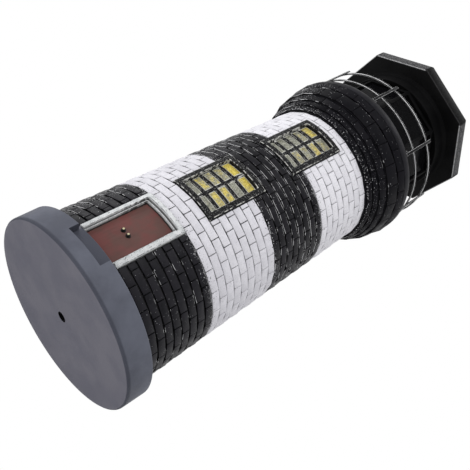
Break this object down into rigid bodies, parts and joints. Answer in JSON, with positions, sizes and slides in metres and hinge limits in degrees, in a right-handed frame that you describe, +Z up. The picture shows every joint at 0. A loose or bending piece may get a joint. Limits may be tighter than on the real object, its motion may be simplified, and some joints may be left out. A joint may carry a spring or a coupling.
{
  "type": "solar lighthouse garden ornament",
  "caption": "Tapered brick-pattern lighthouse lamp in black and white bands with door, lattice windows, railed gallery and lift-off octagonal solar head.",
  "frame": {"origin": "middle of the flat underside of the base, on the tower's axis", "axes": "+Z up along the tower's axis, the door and windows face -Y, +X is to the right of the door"},
  "size_m": [0.11, 0.11, 0.2862],
  "materials": {
    "base_grey": "satin grey paint",
    "tower_paint": "matt paint in black and white bands",
    "door_white": "matt white paint",
    "door_brown": "satin brown paint",
    "knob_metal": "pale metallic paint",
    "window_black": "satin black paint",
    "pane_amber": "translucent amber",
    "gallery_black": "satin black paint",
    "railing_black": "glossy black",
    "head_black": "smooth satin black",
    "smoked_glazing": "clear smoked plastic",
    "solar_cell": "dark blue cell under clear resin",
    "circuit_green": "solder mask",
    "circuit_dark": "moulded parts",
    "lamp_clear": "clear epoxy",
    "mirror_face": "vacuum-metallised",
    "steel": "plain",
    "cell_sleeve": "shrink sleeve",
    "contact_metal": "nickel plated",
    "switch_white": "plain"
  },
  "bodies": {
    "tower": {"base_disc": "base_grey", "tower_shell": "tower_paint", "door_frame": "door_white", "door_panel": "door_brown", "door_knobs": "knob_metal", "lower_window_frame": "window_black", "lower_window_panes": "pane_amber", "upper_window_frame": "window_black", "upper_window_panes": "pane_amber", "gallery_corbel": "gallery_black", "railing_posts": "railing_black", "lower_rail": "railing_black", "upper_rail": "railing_black"},
    "head": {"lantern_base": "head_black", "lantern_glass": "smoked_glazing", "lantern_cage": "head_black", "roof_cap": "head_black", "panel_bezel": "head_black", "solar_panel": "solar_cell", "lamp_board": "circuit_green", "beacon_lamp": "lamp_clear", "drive_motor": "steel", "motor_bracket": "steel", "tray_plate": "head_black", "tray_screws": "steel", "battery_cover": "head_black", "battery_cell": "cell_sleeve", "battery_contacts": "contact_metal", "circuit_board": "circuit_green", "circuit_parts": "circuit_dark", "switch_body": "steel", "window_lamp": "lamp_clear"},
    "beacon": {"mirror_carrier": "head_black", "beacon_mirror": "mirror_face", "drive_shaft": "steel"},
    "switch": {"switch_knob": "switch_white"}
  },
  "joints": [
    {"name": "head_lift", "type": "slide", "parent": "tower", "child": "head", "axis": [0, 0, 1], "range_m": [0, 0.05]},
    {"name": "beacon_spin", "type": "hinge", "parent": "head", "child": "beacon", "pos_m": [0, 0, 0.23], "axis": [0, 0, 1], "continuous": true},
    {"name": "switch_slide", "type": "slide", "parent": "head", "child": "switch", "axis": [1, 0, 0], "range_m": [0, 0.003]}
  ]
}
